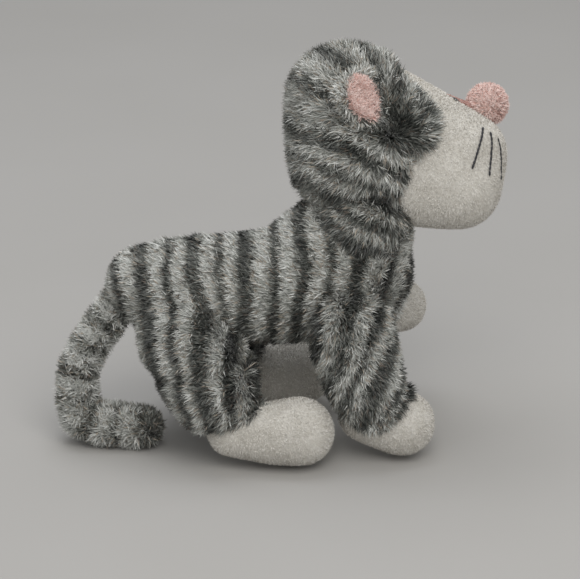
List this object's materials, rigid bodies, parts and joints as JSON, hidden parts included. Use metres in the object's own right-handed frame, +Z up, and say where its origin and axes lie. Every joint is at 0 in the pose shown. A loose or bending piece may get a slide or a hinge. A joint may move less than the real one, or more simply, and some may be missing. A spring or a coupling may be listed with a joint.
{
  "type": "plush cat",
  "caption": "Standing grey tabby plush cat in long pile, with a white short-pile face and paws, a pink nose, a turned head, swinging limbs and a ringed tail.",
  "frame": {"origin": "on the floor under the middle of the cat's overall box", "axes": "+X the way the cat's body faces, +Y its left side, +Z up"},
  "size_m": [0.2944, 0.1648, 0.2664],
  "materials": {
    "tabby_pile": "matte",
    "white_short_pile": "matte",
    "pink_nose_pile": "matte",
    "pink_ear_lining": "matte",
    "fibre_fill": "matte",
    "bean_bag": "matte",
    "black_eye": "gloss",
    "black_thread": "matte"
  },
  "bodies": {
    "torso": {"torso_shell": "tabby_pile", "torso_fill": "fibre_fill", "torso_beans": "bean_bag"},
    "neck": {"neck_sleeve": "tabby_pile", "neck_fill": "fibre_fill"},
    "head": {"head_shell": "tabby_pile", "face_panel": "white_short_pile", "head_fill": "fibre_fill", "nose": "pink_nose_pile", "eye_right": "black_eye", "eye_left": "black_eye", "whiskers_right": "black_thread", "whiskers_left": "black_thread", "mouth_stitch": "black_thread"},
    "ear_right": {"ear_right_outer": "tabby_pile", "ear_right_inner": "pink_ear_lining"},
    "ear_left": {"ear_left_outer": "tabby_pile", "ear_left_inner": "pink_ear_lining"},
    "fore_right": {"fore_right_sleeve": "tabby_pile", "fore_right_fill": "fibre_fill", "fore_right_paw": "white_short_pile", "fore_right_beans": "bean_bag"},
    "fore_left": {"fore_left_sleeve": "tabby_pile", "fore_left_fill": "fibre_fill", "fore_left_paw": "white_short_pile", "fore_left_beans": "bean_bag"},
    "hind_right": {"hind_right_sleeve": "tabby_pile", "hind_right_fill": "fibre_fill", "hind_right_foot": "white_short_pile", "hind_right_beans": "bean_bag"},
    "hind_left": {"hind_left_sleeve": "tabby_pile", "hind_left_fill": "fibre_fill", "hind_left_foot": "white_short_pile", "hind_left_beans": "bean_bag"},
    "tail": {"tail_sleeve": "tabby_pile", "tail_fill": "fibre_fill"},
    "tail_tip": {"tail_tip_sleeve": "tabby_pile", "tail_tip_fill": "fibre_fill"}
  },
  "joints": [
    {"name": "neck_turn", "type": "hinge", "parent": "torso", "child": "neck", "pos_m": [0.05, -0.00835, 0.156], "axis": [-0.0537, 0.3043, 0.9511], "range_deg": [-25, 25]},
    {"name": "head_nod", "type": "hinge", "parent": "neck", "child": "head", "pos_m": [0.05, -0.00835, 0.156], "axis": [0.1651, -0.9366, 0.309], "range_deg": [-8, 15]},
    {"name": "ear_right_fold", "type": "hinge", "parent": "head", "child": "ear_right", "pos_m": [0.0641, -0.01345, 0.24465], "axis": [-0.3339, 0.2693, 0.9033], "range_deg": [0, 20]},
    {"name": "ear_left_fold", "type": "hinge", "parent": "head", "child": "ear_left", "pos_m": [0.0527, 0.05117, 0.22333], "axis": [0.3246, -0.2164, -0.9208], "range_deg": [0, 20]},
    {"name": "fore_right_swing", "type": "hinge", "parent": "torso", "child": "fore_right", "pos_m": [0.044, -0.03735, 0.092], "axis": [0, 1, 0], "range_deg": [-20, 1]},
    {"name": "fore_left_swing", "type": "hinge", "parent": "torso", "child": "fore_left", "pos_m": [0.044, 0.02065, 0.092], "axis": [0, 1, 0], "range_deg": [-20, 20]},
    {"name": "hind_right_swing", "type": "hinge", "parent": "torso", "child": "hind_right", "pos_m": [-0.062, -0.03635, 0.088], "axis": [0, 1, 0], "range_deg": [-1.5, 12]},
    {"name": "hind_left_swing", "type": "hinge", "parent": "torso", "child": "hind_left", "pos_m": [-0.062, 0.01965, 0.088], "axis": [0, 1, 0], "range_deg": [-1.5, 12]},
    {"name": "tail_swing", "type": "hinge", "parent": "torso", "child": "tail", "pos_m": [-0.11, -0.00835, 0.1], "axis": [0, 0, 1], "range_deg": [-20, 20]},
    {"name": "tail_curl", "type": "hinge", "parent": "tail", "child": "tail_tip", "pos_m": [-0.134, -0.02235, 0.017], "axis": [0, 0, 1], "range_deg": [-25, 25]}
  ]
}
